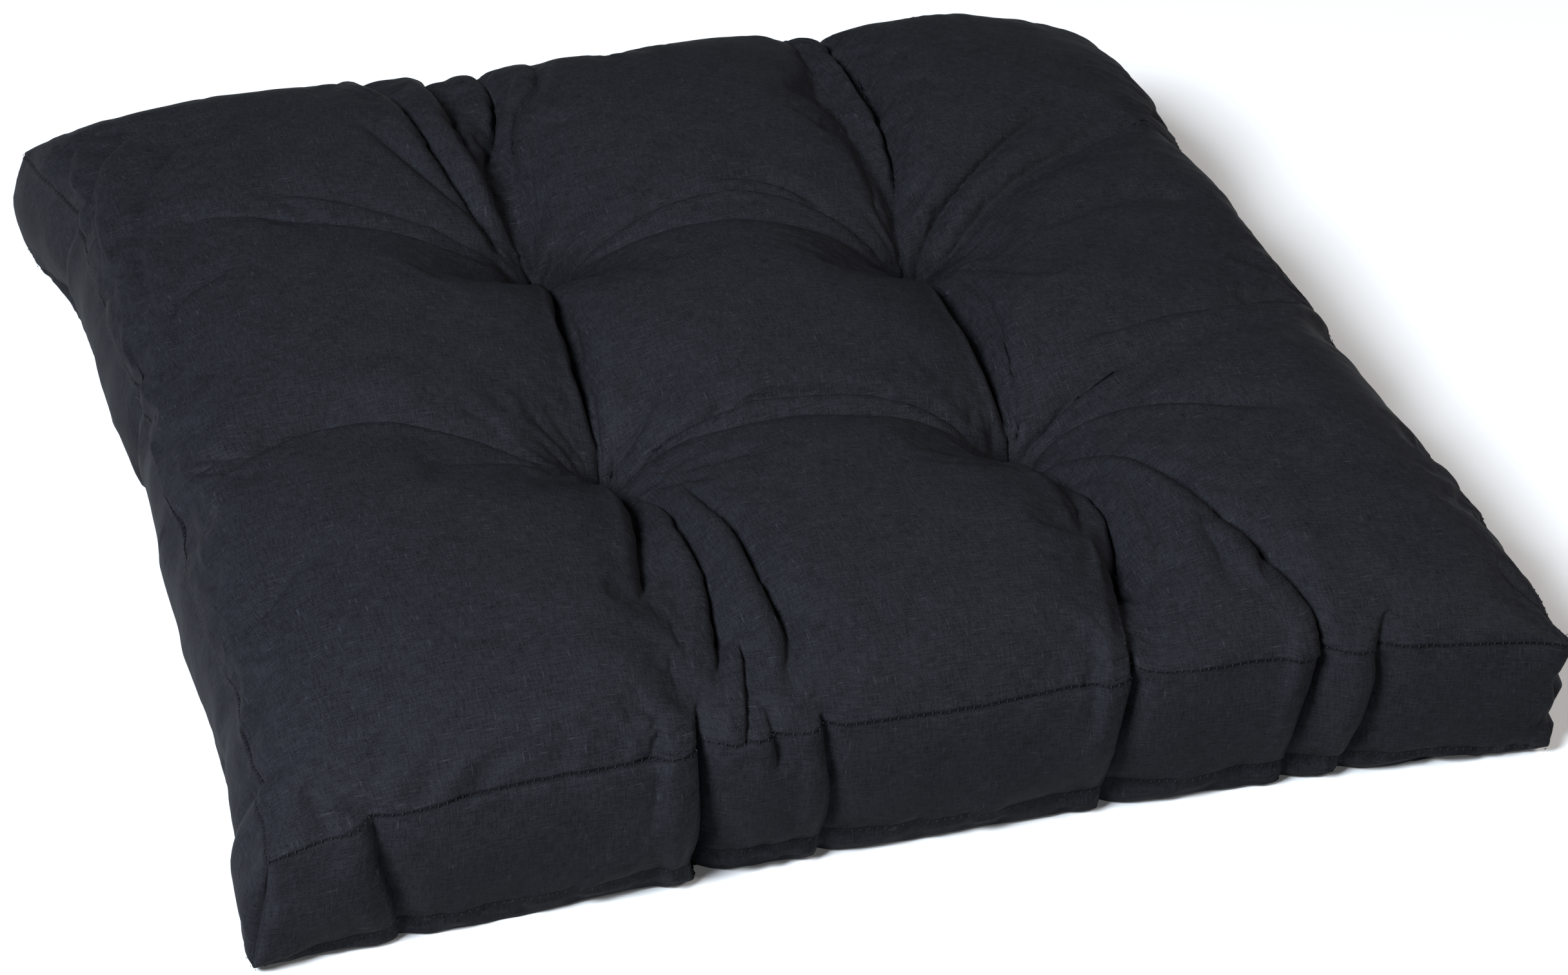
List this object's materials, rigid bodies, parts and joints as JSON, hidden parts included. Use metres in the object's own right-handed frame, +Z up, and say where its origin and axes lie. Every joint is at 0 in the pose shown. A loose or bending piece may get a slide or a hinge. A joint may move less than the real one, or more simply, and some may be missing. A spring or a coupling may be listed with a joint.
{
  "type": "lounge cushion",
  "caption": "Square boxed lounge seat cushion in anthracite woven cotton, deeply tufted, with gathered folds running from the tufts over a stitched side strip",
  "frame": {"origin": "on the plane that the cushion lies on, at the middle of its width and depth", "axes": "X right along the front edge, Y from the front edge to the back edge, Z up through the thickness"},
  "size_m": [0.606, 0.603, 0.1141],
  "materials": {
    "anthracite_cloth": "matte anthracite plain-weave cotton with fine slubs and a faint cool sheen on its slopes"
  },
  "bodies": {
    "root": {"cushion": "anthracite_cloth"}
  },
  "joints": []
}
